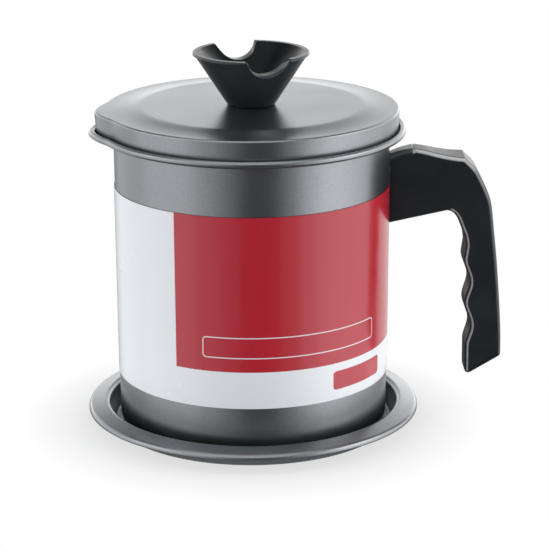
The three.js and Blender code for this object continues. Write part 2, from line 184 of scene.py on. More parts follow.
coatSettings = {
    "dark": (0.215, 0.225, 0.24),
    "light": (0.275, 0.285, 0.3),
    "roughness": (0.28, 0.33),
    "grainScale": 2600,  # fine sparkle of the non-stick coat
    "cloudScale": 16,
    "bump": 0.12,
    "bumpDepth": 0.02,
}


def coatedSteel(s):
    mat, tree, shader, coords = newMaterial("coatedSteel")
    cloud = addNoise(tree, coords, s["cloudScale"], detail=2.0)
    grain = addNoise(tree, coords, s["grainScale"], detail=1.0)
    applyFinish(tree, shader, toneFrom(tree, grain, s), cloud, s)
    shader.inputs["Metallic"].default_value = 1.0
    addBump(tree, shader, grain, s)
    return mat


plasticSettings = {
    "dark": (0.0075, 0.011, 0.0145),
    "light": (0.013, 0.0185, 0.0235),
    "roughness": (0.27, 0.36),
    "cloudScale": 40,
    "grainScale": 1800,
    "bump": 0.1,
    "bumpDepth": 0.03,
    # what places with painted highlight and painted shade turn to
    "paintedHighlight": (0.78, 0.79, 0.8),
    "highlightMetallic": 0.15,
    "paintedShade": (0.004, 0.005, 0.006),
    "specular": (0.5, 0.12),  # of plain plastic, and the dimmer reflection where shade is painted
}


def meshShare(tree, name):
    # a share from 0 to 1 that the mesh carries at its vertices
    node = tree.nodes.new("ShaderNodeAttribute")
    node.attribute_name = name
    return node.outputs["Fac"]


def addPaintedLight(tree, shader, colour, s):
    # painted highlight, lighter and a little metallic, and painted shade, darker and with a dimmer
    # reflection, where the mesh marks them
    paintedHighlight, paintedShade = meshShare(tree, "paintedHighlight"), meshShare(tree, "paintedShade")
    tree.links.new(calc(tree, "MULTIPLY", paintedHighlight, s["highlightMetallic"]), shader.inputs["Metallic"])
    specular = spread(tree, paintedShade, *s["specular"], 0, 1)
    tree.links.new(specular, shader.inputs["Specular IOR Level"])
    colour = blendColour(tree, paintedShade, colour, s["paintedShade"])
    return blendColour(tree, paintedHighlight, colour, s["paintedHighlight"])


def blackPlastic(s):
    mat, tree, shader, coords = newMaterial("blackPlastic")
    cloud = addNoise(tree, coords, s["cloudScale"])
    grain = addNoise(tree, coords, s["grainScale"], detail=2.0)
    colour = addPaintedLight(tree, shader, toneFrom(tree, cloud, s), s)
    applyFinish(tree, shader, colour, cloud, s)
    addBump(tree, shader, grain, s)
    return mat


steelSettings = {
    "dark": (0.5, 0.51, 0.52),
    "light": (0.66, 0.665, 0.67),
    "roughness": (0.2, 0.34),
    "lineScale": 900,  # turning lines round the axis
    "bump": 0.15,
    "bumpDepth": 0.03,
}


def bareSteel(s):
    mat, tree, shader, coords = newMaterial("bareSteel")
    x, y, z = splitVector(tree, coords)
    joined = tree.nodes.new("ShaderNodeCombineXYZ")
    tree.links.new(lengthOf(tree, x, y), joined.inputs[0])
    tree.links.new(z, joined.inputs[1])
    lines = addNoise(tree, joined.outputs[0], s["lineScale"], detail=2.0)
    applyFinish(tree, shader, toneFrom(tree, lines, s), lines, s)
    shader.inputs["Metallic"].default_value = 1.0
    addBump(tree, shader, lines, s)
    return mat


brassSettings = {
    "dark": (0.5, 0.34, 0.13),
    "light": (0.68, 0.5, 0.24),
    "roughness": (0.25, 0.4),
    "scale": 700,
}


def brass(s):
    mat, tree, shader, coords = newMaterial("brass")
    noise = addNoise(tree, coords, s["scale"])
    applyFinish(tree, shader, toneFrom(tree, noise, s), noise, s)
    shader.inputs["Metallic"].default_value = 1.0
    return mat


coatedMat = coatedSteel(coatSettings)
plasticMat = blackPlastic(plasticSettings)
steelMat = bareSteel(steelSettings)
brassMat = brass(brassSettings)
print("metals and plastics ready")


# Mesh helpers

ringSteps = 224


def lerp(a, b, share):
    return a + (b - a) * share


def ramp(value, low, high):
    return min(max((value - low) / (high - low), 0), 1)


def roundCorner(bm, vert, offset, steps):
    bmesh.ops.bevel(
        bm, geom=[vert], offset=offset, offset_type="OFFSET", affect="VERTICES",
        segments=steps, profile=0.5, material=-1,
    )


def wireThrough(corners, arcSteps=5):
    # a chain of edges in the xz plane through (radius, height, fillet) corners in millimetres
    bm = bmesh.new()
    verts = [bm.verts.new((r * mm, 0, z * mm)) for r, z, fillet in corners]
    for first, second in zip(verts, verts[1:]):
        bm.edges.new((first, second))
    places = [vert.co.copy() for vert in verts]
    for i, (r, z, fillet) in enumerate(corners):
        if not fillet or i in (0, len(corners) - 1):
            continue
        turn = (places[i] - places[i - 1]).angle(places[i + 1] - places[i])
        roundCorner(bm, verts[i], fillet * mm * tan(turn / 2), arcSteps)
    return bm


def spinRound(bm, steps=ringSteps):
    bmesh.ops.spin(
        bm, geom=bm.verts[:] + bm.edges[:], cent=(0, 0, 0), axis=(0, 0, 1),
        angle=2 * pi, steps=steps, use_merge=True,
    )
    bmesh.ops.remove_doubles(bm, verts=bm.verts[:], dist=1e-6)


def faceOutward(bm, middle=None):
    # turns the faces so that they look away from a point inside the piece
    bmesh.ops.recalc_face_normals(bm, faces=bm.faces[:])
    if middle is None:
        return
    away = sum((f.calc_center_median() - middle).dot(f.normal) * f.calc_area() for f in bm.faces)
    if away < 0:
        bmesh.ops.reverse_faces(bm, faces=bm.faces[:])


def markSharp(bm, angle=38):
    for face in bm.faces:
        face.smooth = True
    for edge in bm.edges:
        edge.smooth = len(edge.link_faces) < 2 or edge.calc_face_angle() < radians(angle)


def finishPiece(bm, name, mat, body, nodes, wall=0.0):
    # the wall is a sheet's gauge in millimetres, laid on the side away from the normals
    mesh = bpy.data.meshes.new(name)
    markSharp(bm)
    bm.to_mesh(mesh)
    bm.free()
    mesh.materials.append(mat)
    piece = bpy.data.objects.new(name, mesh)
    bpy.context.scene.collection.objects.link(piece)
    if wall:
        solid = piece.modifiers.new("wall", "SOLIDIFY")
        solid.thickness = wall * mm
        solid.offset = -1
        solid.use_even_offset = True
    flat = piece.modifiers.new("shading", "WEIGHTED_NORMAL")
    flat.keep_sharp = True
    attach(piece, body)
    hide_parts(*nodes)
    print("made", name)
    return piece


# Spout of the pot and beak of the lid

spoutSettings = {
    "halfAngle": 16.0,
    "turn": 5.4,  # degrees off the line through the handle
    "tipPower": 1.45,
    "blend": 0.15,
    "potReach": 3.8,
    "lidReach": 3.6,
    "lidHeadShare": 1.15,
}


def spoutSwell(angle, s=spoutSettings):
    # outward swell from 0 to 1 at an angle about the axis
    fromTip = abs((degrees(angle) - s["turn"]) % 360 - 180)
    slope = 1 - (fromTip / s["halfAngle"]) ** s["tipPower"]
    if slope > s["blend"]:
        return slope
    return 0 if slope < -s["blend"] else (slope + s["blend"]) ** 2 / (4 * s["blend"])


def pushSpout(bm, reach, innerRadius, outerRadius, lowZ, highZ, headShare=1.0):
    # pushes the rim out at the spout; the push grows from nothing at the inner radius
    for vert in bm.verts:
        radius = hypot(vert.co.x, vert.co.y)
        if vert.co.z < lowZ or radius <= innerRadius:
            continue
        share = min((radius - innerRadius) / (outerRadius - innerRadius), 1)
        share *= lerp(1, headShare, (vert.co.z - lowZ) / (highZ - lowZ))
        push = reach * mm * share * spoutSwell(atan2(vert.co.y, vert.co.x))
        vert.co.x *= 1 + push / radius
        vert.co.y *= 1 + push / radius


# Drip tray

traySettings = {
    "gauge": 0.8,
    "floorRadius": 65.7,
    "mouthRadius": 68.5,
    "flangeDrop": 1.8,
    "lipHeight": 2.2,
    "cornerRadius": 2.4,
    "edgeRadius": 1.4,
    "height": 11.3,
}


def makeTray(s):
    outer = trayHigh.x / mm - s["gauge"]
    under = s["height"] - s["gauge"]
    edge = under - s["flangeDrop"]
    bm = wireThrough([
        (0, 0, 0),
        (s["floorRadius"], 0, s["cornerRadius"]),
        (s["mouthRadius"], under, s["edgeRadius"]),
        (outer, edge, s["edgeRadius"]),
        (outer, edge - s["lipHeight"] + s["gauge"], 0),
    ])
    spinRound(bm)
    faceOutward(bm, Vector((0, 0, 4 * s["height"] * mm)))
    return finishPiece(bm, "dripTray", coatedMat, "tray", ["drip_tray"], s["gauge"])


# Pot

potSettings = {
    "gauge": 0.6,
    "footRadius": 62.5,
    "mouthRadius": 63.3,
    "ledgeZ": 138.1,
    "neckRadius": 67.8,
    "curlRadius": 1.55,
    "curlZ": 140.4,
    "curlSteps": 14,
    "ledgeFillet": 1.1,
    "curlEnd": 280,  # degrees that the rim curls through
    "cornerRadius": 5.0,
    "floorRise": 1.5,
    "floorRiseRadius": 50.0,
    "floorRiseRun": 2.5,
    "spoutBelow": 1.0,  # how far below the ledge the spout's push starts
}


def makePot(s):
    foot = potLow.z / mm
    neckOuter = s["neckRadius"] + s["gauge"]
    bm = wireThrough([
        (0, foot + s["floorRise"], 0),
        (s["floorRiseRadius"], foot + s["floorRise"], s["floorRiseRun"]),
        (s["floorRiseRadius"] + s["floorRiseRun"], foot, s["floorRiseRun"]),
        (s["footRadius"], foot, s["cornerRadius"]),
        (s["mouthRadius"], s["ledgeZ"], s["ledgeFillet"]),
        (neckOuter, s["ledgeZ"], s["ledgeFillet"]),
        (neckOuter, s["curlZ"], 0),
    ])
    curlInner = s["curlRadius"] - s["gauge"]
    start = max(bm.verts, key=lambda vert: vert.co.z)
    centre = Vector(((s["neckRadius"] + s["curlRadius"]) * mm, 0, s["curlZ"] * mm))
    for i in range(1, s["curlSteps"] + 1):  # the rim curls outward and under
        turn = radians(180 - s["curlEnd"] * i / s["curlSteps"])
        place = centre + Vector((cos(turn), 0, sin(turn))) * curlInner * mm
        vert = bm.verts.new(place)
        bm.edges.new((start, vert))
        start = vert
    spinRound(bm)
    faceOutward(bm, Vector((0, 0, 0.5 * potHigh.z)))
    low = (s["ledgeZ"] - s["spoutBelow"]) * mm
    pushSpout(bm, spoutSettings["potReach"], s["mouthRadius"] * mm, neckOuter * mm, low, potHigh.z)
    return finishPiece(bm, "potShell", coatedMat, "pot", ["pot_shell"], s["gauge"])


# Lid

lidSettings = {
    "gauge": 0.6,
    "footRadius": 67.3,
    "headRadius": 67.8,
    "edgeRadius": 1.0,
    "plateauRadius": 51.5,
    "plateauRun": 9.2,
    "plateauRise": 1.2,
    "footFillet": 70.0,
    "crestFillet": 22.0,
    "holeRadius": 2.8,
}


def makeLid(s):
    top = lidHigh.z / mm - s["plateauRise"]
    slopeEnd = s["plateauRadius"] + s["plateauRun"]
    bm = wireThrough([
        (s["footRadius"], lidLow.z / mm, 0),
        (s["headRadius"], top, s["edgeRadius"]),
        (slopeEnd, top, s["footFillet"]),
        (s["plateauRadius"], top + s["plateauRise"], s["crestFillet"]),
        (s["holeRadius"], top + s["plateauRise"], 0),
    ])
    spinRound(bm)
    faceOutward(bm, Vector((0, 0, lidLow.z)))
    reach, headShare = spoutSettings["lidReach"], spoutSettings["lidHeadShare"]
    pushSpout(bm, reach, slopeEnd * mm, s["footRadius"] * mm, lidLow.z, top * mm, headShare)
    return finishPiece(bm, "lidShell", coatedMat, "lid", ["lid_shell"], s["gauge"])


# Knob: a hollow cone with two U notches that face each other

knobSettings = {
    "baseRadius": 10.95,
    "rimRadius": 26.6,
    "wall": 3.0,
    "floorHeight": 9.0,
    "floorRadius": 6.5,
    "rimBand": 1.3,
    "rimFillet": 0.55,
    "notchRadius": 10.6,
    "notchDepth": 7.1,
    "notchTurn": 17.9,
    "notchPasses": 4,
    "bendDepth": 15,  # below the rim, where the wall starts to follow the cut
    "bendRun": 12,
    "pocketRadius": 4.9,
    "pocketDepth": 6.8,
    "edgeFillet": 0.3,
    "baseFillet": 0.5,
    "bandFillet": 0.4,
    "floorFillet": 3.0,
    "arcSteps": 4,
    "ringSteps": 320,
    "longWall": 8,  # from this height on a stretch of wall is cut finer
    "wallCuts": 18,
    "shadeMargin": 0.1,
}


def notchKnob(bm, s, base, rim):
    # lowers the rim along the cone's walls to a cut of round section across the whole knob
    height = rim - base
    floorZ = base + s["floorHeight"]
    turn = radians(s["notchTurn"])
    axisZ = rim - s["notchDepth"] + s["notchRadius"]

    def outerAt(z):
        return lerp(s["baseRadius"], s["rimRadius"], (z - base) / height)

    def innerAt(z):
        return lerp(s["floorRadius"], s["rimRadius"] - s["wall"], (z - floorZ) / (rim - floorZ))

    for vert in bm.verts:
        x, y, z = (c / mm for c in vert.co)
        radius = hypot(x, y)
        follow = ramp(z, rim - s["bendDepth"], rim - s["bendDepth"] + s["bendRun"])
        follow = follow * follow * (3 - 2 * follow)
        if not follow:
            continue
        share = (radius - innerAt(z)) / (outerAt(z) - innerAt(z))
        newZ, newRadius = z, radius
        for _ in range(s["notchPasses"]):
            side = abs((x * cos(turn) + y * sin(turn)) * newRadius / radius)
            reach = s["notchRadius"] ** 2 - side ** 2
            cut = axisZ - sqrt(reach) if reach > 0 else rim
            drop = max(rim - cut, 0)
            newZ = z - drop * follow
            newRadius = lerp(innerAt(newZ), outerAt(newZ), share)
        vert.co = Vector((x * newRadius / radius, y * newRadius / radius, newZ)) * mm


def makeKnob(s):
    base, rim = knobLow.z / mm, knobHigh.z / mm
    slope = (s["rimRadius"] - s["baseRadius"]) / (rim - base)
    bandRadius = s["rimRadius"] - slope * s["rimBand"]
    floorZ = base + s["floorHeight"]
    bm = wireThrough([
        (0, base + s["pocketDepth"], 0),
        (s["pocketRadius"], base + s["pocketDepth"], s["edgeFillet"]),
        (s["pocketRadius"], base, s["edgeFillet"]),
        (s["baseRadius"], base, s["baseFillet"]),
        (bandRadius, rim - s["rimBand"], s["bandFillet"]),
        (s["rimRadius"], rim - s["rimBand"], s["edgeFillet"]),
        (s["rimRadius"], rim, s["rimFillet"]),
        (s["rimRadius"] - s["wall"], rim, s["rimFillet"]),
        (s["floorRadius"], floorZ, s["floorFillet"]),
        (0, floorZ, 0),
    ], s["arcSteps"])
    longWall = s["longWall"] * mm
    long = [edge for edge in bm.edges if abs(edge.verts[0].co.z - edge.verts[1].co.z) > longWall]
    bmesh.ops.subdivide_edges(bm, edges=long, cuts=s["wallCuts"])
    spinRound(bm, s["ringSteps"])
    faceOutward(bm)
    paintedShade = bm.verts.layers.float.new("paintedShade")
    for vert in bm.verts:  # the hollow gets painted shade: a darker colour and a dimmer reflection
        inside = s["rimRadius"] - slope * (rim - vert.co.z / mm) - s["wall"] / 2
        above = vert.co.z / mm + s["shadeMargin"] > floorZ
        vert[paintedShade] = above and hypot(vert.co.x, vert.co.y) < inside * mm
    notchKnob(bm, s, base, rim)
    return finishPiece(bm, "lidKnob", plasticMat, "lid", ["lid_knob"])


# Handle

gripSettings = {
    "wallRadius": 63.23,
    "reach": 52.7,
    "width": 24.0,  # at the top of the back, from where both sides taper
    "rootWidth": 8.6,
    "tipWidth": 19.0,
    "edgeRadius": 1.8,
    "edgeSteps": 7,
    "cornerRadius": 2.0,
    "cornerSteps": 6,
    "grooveDepth": 0.4,
    "collarCrown": 1.2,  # how far the collar's top falls away to both sides at the root
    "collarDepth": 6,  # how far below the handle's highest point that top reaches
    "scallopPitch": 21.4,
    "scallopDepth": 2.6,
    "scallopSteps": 32,
    "rootGap": 0.35,
    # points of the side view, as shares of the reach and the height
    "collarShares": [(0.0, 0.977), (0.1, 0.993), (0.2, 1.0)],
    "topShares": [(0.222, 1.0), (0.32, 0.991), (0.415, 0.98), (0.534, 0.9695), (0.656, 0.9635)],
    "backShares": [
        (0.656, 0.9635), (0.751, 0.917), (0.8, 0.875), (0.852, 0.823), (0.889, 0.767), (0.919, 0.646),
        (0.95, 0.508), (0.979, 0.339), (0.996, 0.205), (1.0, 0.099),
    ],
    "throatShares": [
        (0.675, 0.585), (0.664, 0.62), (0.63, 0.664), (0.593, 0.706), (0.553, 0.728), (0.51, 0.735),
    ],
    "tipShare": 0.685,
    "lowRidgeShare": (0.684, 0.136),
    "highRidgeShare": 0.657,
    "underShare": 0.673,
    "curveSteps": 5,
    # how strong the painted highlight along each edge is, and how dark the painted shade on the strips
    # beside the bright lines is
    "topHighlight": 0.65,
    "topShade": 1.0,
    "farShade": 0.85,
    "collarHighlight": 0.12,
    "collarShade": 0.6,
    "fingerHighlight": 0.6,
    "backHighlight": 0.35,
    # where the painted highlight and shade begin and end: over an edge's quarter circle, or by the way
    # the edge faces the light
    "sideFade": (0.85, 1),
    "fingerFaces": -0.25,
    "fingerAcross": 0.5,
    "fingerHighlightSpan": (0.55, 0.8),
    "fingerShadeSpan": (0.4, 0.6),
    "topFaces": (0.55, 0.9),
    "topHighlightSpan": (0.15, 0.4),
    "backFaces": (0.3, 0.6),
    "backRises": (0, 0.6),
    "backHighlightSpan": (0.4, 0.6),
    "shadeFaces": (0.1, 0.4),
    "shadeEnds": (0.15, 0.35),
    "shadeAcross": 0.3,
}


def splineThrough(points, steps):
    # a smooth curve through the points
    ends = [points[0] * 2 - points[1], *points, points[-1] * 2 - points[-2]]
    out = []
    for p0, p1, p2, p3 in zip(ends, ends[1:], ends[2:], ends[3:]):
        for i in range(steps):
            t = i / steps
            out.append(0.5 * (2 * p1 + (p2 - p0) * t + (2 * p0 - 5 * p1 + 4 * p2 - p3) * t ** 2
                              + (3 * p1 - p0 - 3 * p2 + p3) * t ** 3))
    return [*out, points[-1]]


def gripOutline(s):
    def at(across, up):
        return Vector((s["wallRadius"] + across * s["reach"], lerp(gripLow.z, gripHigh.z, up) / mm))

    collar, top, back, throat = (
        splineThrough([at(*share) for share in s[key]], s["curveSteps"])
        for key in ("collarShares", "topShares", "backShares", "throatShares")
    )
    low = at(*s["lowRidgeShare"])
    high = Vector((at(s["highRidgeShare"], 0).x, low.y + 2 * s["scallopPitch"]))
    scallops = []
    for i in range(s["scallopSteps"] + 1):
        share = i / s["scallopSteps"]
        dip = s["scallopDepth"] * sin(2 * pi * share) ** 2
        scallops.append(low.lerp(high, share) + Vector((dip, 0)))
    groove = (collar[-1] + top[0]) / 2 - Vector((0, s["grooveDepth"]))
    buried = Vector((3 * s["edgeRadius"], 0))  # cut off again where the handle meets the pot
    under = at(0, s["underShare"])
    root = [under - buried, collar[0] - buried]
    return [*root, *collar, groove, *top, *back[1:], at(s["tipShare"], 0), *scallops, *throat, under]


def gripWidthAt(x, z, s):
    across = (x / mm - s["wallRadius"]) / s["reach"]
    up = (z - gripLow.z) / (gripHigh.z - gripLow.z)
    toRoot = (1 - across) * (s["width"] - s["rootWidth"])
    toTip = (1 - up) * (s["width"] - s["tipWidth"])
    return s["width"] - toRoot - toTip


def roundSides(bm, radius, steps):
    # rounds the edges of both side faces with insets that rise along a quarter circle; the layers
    # hold each vertex's share of that quarter and the way it faces in the side view
    layers = [bm.verts.layers.float.new(name) for name in ("share", "outX", "outZ")]
    bm.normal_update()
    for vert in bm.verts:
        flat = hypot(vert.normal.x, vert.normal.z)
        vert[layers[1]], vert[layers[2]] = vert.normal.x / flat, vert.normal.z / flat
    for side in [face for face in bm.faces if abs(face.normal.y) > 0.99]:
        for i in range(steps):
            low, high = 0.5 * pi * i / steps, 0.5 * pi * (i + 1) / steps
            bmesh.ops.inset_region(
                bm, faces=[side], thickness=radius * (cos(low) - cos(high)),
                depth=radius * (sin(high) - sin(low)), use_even_offset=True, use_boundary=True,
            )
            for vert in side.verts:
                vert[layers[0]] = (i + 1) / steps
    return layers


def paintedLightAt(across, outX, outZ, share, near, s):
    # how much painted highlight a place of the grip gets, and how much painted shade
    fade = 1 - ramp(share, *s["sideFade"])
    if outX < s["fingerFaces"] and across > s["fingerAcross"]:
        paintedHighlight = s["fingerHighlight"] * ramp(share, *s["fingerHighlightSpan"])
        return paintedHighlight * fade, 1 - ramp(share, *s["fingerShadeSpan"])
    top = ramp(outZ, *s["topFaces"])
    if across < s["collarShares"][-1][0]:
        return s["collarHighlight"] * top * fade, s["collarShade"] * top * fade
    back = (1 - top) * ramp(outX, *s["backFaces"]) * ramp(outZ, *s["backRises"])
    paintedHighlight = s["topHighlight"] * top * ramp(share, *s["topHighlightSpan"])
    paintedHighlight += s["backHighlight"] * back * ramp(share, *s["backHighlightSpan"])
    paintedShade = s["topShade"] * ramp(outZ, *s["shadeFaces"]) * (1 - ramp(share, *s["shadeEnds"]))
    return fade * paintedHighlight, paintedShade if near or outX > s["shadeAcross"] else s["farShade"] * paintedShade


def makeGrip(s):
    bm = bmesh.new()
    half = s["width"] / 2 * mm
    radius = s["edgeRadius"] * mm
    outline = [bm.verts.new((p.x * mm, radius - half, p.y * mm)) for p in gripOutline(s)]
    bm.faces.new(outline)
    for corner in (min(outline, key=lambda vert: vert.co.z), max(outline, key=lambda vert: vert.co.x)):
        first, second = (edge.other_vert(corner).co - corner.co for edge in corner.link_edges)
        roundCorner(bm, corner, s["cornerRadius"] * mm / tan(first.angle(second) / 2), s["cornerSteps"])
    grown = bmesh.ops.extrude_face_region(bm, geom=bm.faces[:])
    moved = [v for v in grown["geom"] if isinstance(v, bmesh.types.BMVert)]
    bmesh.ops.translate(bm, verts=moved, vec=(0, 2 * (half - radius), 0))
    bmesh.ops.recalc_face_normals(bm, faces=bm.faces[:])
    layers = roundSides(bm, radius, s["edgeSteps"])
    paintedHighlight, paintedShade = (bm.verts.layers.float.new(name) for name in ("paintedHighlight", "paintedShade"))
    # painted highlight on the lit rounded edges and painted shade on the strips beside them, by the way
    # each edge faces
    for vert in bm.verts:
        share, outX, outZ = (vert[layer] for layer in layers)
        across = (vert.co.x / mm - s["wallRadius"]) / s["reach"]
        vert[paintedHighlight], vert[paintedShade] = paintedLightAt(across, outX, outZ, share, vert.co.y < 0, s)
    for vert in bm.verts:  # both sides draw in towards the root and the tip
        inset = half - gripWidthAt(vert.co.x, vert.co.z, s) / 2 * mm
        vert.co.y -= inset if vert.co.y > 0 else -inset
    crest = (s["wallRadius"] + s["collarShares"][-1][0] * s["reach"]) * mm
    for vert in bm.verts:  # the collar's top is rounder, most of all at the root
        if vert.co.x < crest and vert.co.z > gripHigh.z - s["collarDepth"] * mm:
            share = min((crest - vert.co.x) / (crest - s["wallRadius"] * mm), 1)
            vert.co.z -= s["collarCrown"] * mm * share * (2 * vert.co.y / mm / s["rootWidth"]) ** 2
    wall = (s["wallRadius"] + s["rootGap"]) * mm
    cut = bmesh.ops.bisect_plane(
        bm, geom=bm.verts[:] + bm.edges[:] + bm.faces[:], plane_co=(wall, 0, 0), plane_no=(1, 0, 0),
        clear_inner=True,
    )
    rootEdges = [part for part in cut["geom_cut"] if isinstance(part, bmesh.types.BMEdge)]
    rootVerts = {vert for edge in rootEdges for vert in edge.verts}
    for vert in rootVerts:  # the root follows the pot's round wall
        vert.co.x = sqrt(wall ** 2 - vert.co.y ** 2)
    bmesh.ops.holes_fill(bm, edges=rootEdges)
    bmesh.ops.recalc_face_normals(bm, faces=bm.faces[:])
    return finishPiece(bm, "handleGrip", plasticMat, "pot", ["handle_grip"])


makeTray(traySettings)
makePot(potSettings)
makeLid(lidSettings)
makeKnob(knobSettings)
makeGrip(gripSettings)


# Printed paper sleeve

labelSettings = {
    "gauge": 0.25,
    "gap": 0.15,
    "openAngle": 12.0,
    "steps": 200,
    "panelFrom": -124.1,  # degrees about the axis where the red panel starts, seen from above
    "panelOver": 1.0,  # degrees that it runs past the sleeve's end
    "panelAbove": 20,  # how far it would run on above the sleeve
    "panelLow": 43.6,
    "panelCorner": 0.2,
    "box": (-71.9, 54.9, 44.2, 4.7, 1.6),  # angle, height, half width, half height, corner
    "tag": (-40.9, 35.4, 16.9, 4.4, 1.7),
    "lineHalf": 0.22,
    "inkEdge": 0.12,
    "white": (0.8, 0.83, 0.87),
    "red": (0.46, 0.016, 0.032),
    "roughness": (0.2, 0.28),
    "coat": 0.15,
    "coatRoughness": 0.12,
    "grainScale": 900,
    "cloudScale": 30,
    "bump": 0.06,
    "bumpDepth": 0.03,
}


def boxDistance(tree, along, up, centre, half, corner):
    # distance to a rounded box on the sleeve, negative inside it
    past = []
    for place, middle, reach in zip((along, up), centre, half):
        away = calc(tree, "ABSOLUTE", calc(tree, "SUBTRACT", place, middle))
        past.append(calc(tree, "SUBTRACT", away, reach - corner))
    outside = lengthOf(tree, *(calc(tree, "MAXIMUM", value, 0) for value in past))
    inside = calc(tree, "MINIMUM", calc(tree, "MAXIMUM", *past), 0)
    return calc(tree, "SUBTRACT", calc(tree, "ADD", outside, inside), corner)


def inkWithin(tree, distance, edge, s):
    # 1 where the distance is less than the edge's, and soft across the edge
    width = s["inkEdge"] * mm
    return spread(tree, distance, 1.0, 0.0, edge - width, edge + width)


def printedPaper(s):
    mat, tree, shader, coords = newMaterial("printedPaper")
    x, y, up = splitVector(tree, coords)
    radius = labelHigh.y
    along = calc(tree, "MULTIPLY", calc(tree, "ARCTAN2", y, x), radius)
    start = radians(s["panelFrom"]) * radius
    end = -radians(s["openAngle"] / 2 - s["panelOver"]) * radius
    top, low = labelHigh.z + s["panelAbove"] * mm, s["panelLow"] * mm
    middle, half = ((start + end) / 2, (top + low) / 2), ((end - start) / 2, (top - low) / 2)
    panel = boxDistance(tree, along, up, middle, half, s["panelCorner"] * mm)
    red = inkWithin(tree, panel, 0.0, s)

    def printedBox(turn, z, halfX, halfZ, corner):
        centre = (radians(turn) * radius, z * mm)
        return boxDistance(tree, along, up, centre, (halfX * mm, halfZ * mm), corner * mm)

    outline = calc(tree, "ABSOLUTE", printedBox(*s["box"]))
    line = inkWithin(tree, outline, s["lineHalf"] * mm, s)
    tag = inkWithin(tree, printedBox(*s["tag"]), 0.0, s)
    ink = calc(tree, "MAXIMUM", calc(tree, "SUBTRACT", red, line, True), tag)
    cloud = addNoise(tree, coords, s["cloudScale"], detail=2.0)
    applyFinish(tree, shader, blendColour(tree, ink, s["white"], s["red"]), cloud, s)
    shader.inputs["Coat Weight"].default_value = s["coat"]
    shader.inputs["Coat Roughness"].default_value = s["coatRoughness"]
    addBump(tree, shader, addNoise(tree, coords, s["grainScale"]), s)
    return mat


def makeLabel(s):
    low, high = labelLow.z / mm, labelHigh.z / mm
    pot = potSettings
    foot = potLow.z / mm

    def radiusAt(z):
        share = (z - foot) / (pot["ledgeZ"] - foot)
        return lerp(pot["footRadius"], pot["mouthRadius"], share) + s["gap"] + s["gauge"]

    bm = wireThrough([(radiusAt(low), low, 0), (radiusAt(high), high, 0)])
    half = radians(s["openAngle"] / 2)
    bmesh.ops.rotate(bm, verts=bm.verts[:], cent=(0, 0, 0), matrix=Matrix.Rotation(half, 3, "Z"))
    bmesh.ops.spin(
        bm, geom=bm.verts[:] + bm.edges[:], cent=(0, 0, 0), axis=(0, 0, 1),
        angle=2 * pi - 2 * half, steps=s["steps"],
    )
    faceOutward(bm, Vector((0, 0, (low + high) / 2 * mm)))
    paper = printedPaper(s)
    return finishPiece(bm, "labelSleeve", paper, "pot", ["label_sleeve"], s["gauge"])


makeLabel(labelSettings)


# Strainer: cup and fine net

strainerSettings = {
    "gauge": 0.5,
    "topRadius": 61.9,
    "footRadius": 56.9,
    "cornerRadius": 2.0,
    "shelfWidth": 8.0,
    "netPitch": 1.7,
    "netWire": 0.42,
    "netMargin": 0.3,
}


def makeCup(s):
    foot = cupLow.z / mm
    flange = cupHigh.z / mm - s["gauge"]
    bm = wireThrough([
        (s["footRadius"] - s["shelfWidth"], foot, 0),
        (s["footRadius"], foot, s["cornerRadius"]),
        (s["topRadius"], flange, s["cornerRadius"] / 2),
        (cupHigh.x / mm, flange, 0),
    ])
    spinRound(bm)
    faceOutward(bm, Vector((0, 0, cupHigh.z)))
    return finishPiece(bm, "strainerCup", steelMat, "strainer", ["strainer_cup"], s["gauge"])


def makeNet(s):
    radius = netHigh.x
    cells = int(2 * radius / (s["netPitch"] * mm))
    bm = bmesh.new()
    bmesh.ops.create_grid(bm, x_segments=cells, y_segments=cells, size=radius)
    netEdge = radius - s["netMargin"] * mm
    outside = [vert for vert in bm.verts if hypot(vert.co.x, vert.co.y) > netEdge]
    bmesh.ops.delete(bm, geom=outside, context="VERTS")
    bmesh.ops.translate(bm, verts=bm.verts[:], vec=(0, 0, (netLow.z + netHigh.z) / 2))
    piece = finishPiece(bm, "strainerNet", steelMat, "strainer", ["strainer_mesh"])
    wires = piece.modifiers.new("wires", "WIREFRAME")
    wires.thickness = s["netWire"] * mm
    wires.use_replace = True
    return piece


makeCup(strainerSettings)
makeNet(strainerSettings)


# Nodes that keep the frame's own shape and get a finer finish

steelNodes = (
    "strainer_ring", "handle_bracket", "handle_screw", "handle_washer", "handle_nut", "knob_screw",
    "knob_washer",
)
for nodeName in (*steelNodes, "knob_insert"):
    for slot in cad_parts[nodeName].material_slots:
        slot.material = steelMat if nodeName in steelNodes else brassMat
print("frame nodes finished")


# Floor, backdrop and light

stageSettings = {
    "floorRadius": 0.11,  # a small round table, so that the coat doesn't mirror it
    "fadeRadius": 0.08,
    "floorSteps": 96,
    "floorColour": (0.66, 0.67, 0.68),
    "floorRoughness": 0.9,
    "floorSpecular": 0.1,
    "floorShade": 0.32,  # how much of the table's own light and shadow is seen near the tray
    "backdrop": (1.0, 1.0, 1.0),
    "room": (0.1, 0.102, 0.106),  # the dim room behind the camera
    "flagShare": 0.6,  # the grey flags beside the backdrop
    "ceilingShare": 0.3,
    "belowShare": 0.03,
    "tableShare": 0.35,  # of the table's white, in gloss
    # where each part of the surroundings begins and ends, as a direction's part along the axis
    "behindEnds": (-0.1, 0.4),
    "flagEnds": (0.8, 0.94),
    "ceilingEnds": (0.28, 0.6),
    "belowEnds": (-0.25, -0.05),
}


def seenShare(tree, share=1.0):
    # 1 for what the camera sees, and the given share of it for gloss and glass
    path = tree.nodes.new("ShaderNodeLightPath")
    gloss = calc(tree, "ADD", path.outputs["Is Glossy Ray"], path.outputs["Is Transmission Ray"], True)
    return calc(tree, "ADD", path.outputs["Is Camera Ray"], calc(tree, "MULTIPLY", gloss, share), True)


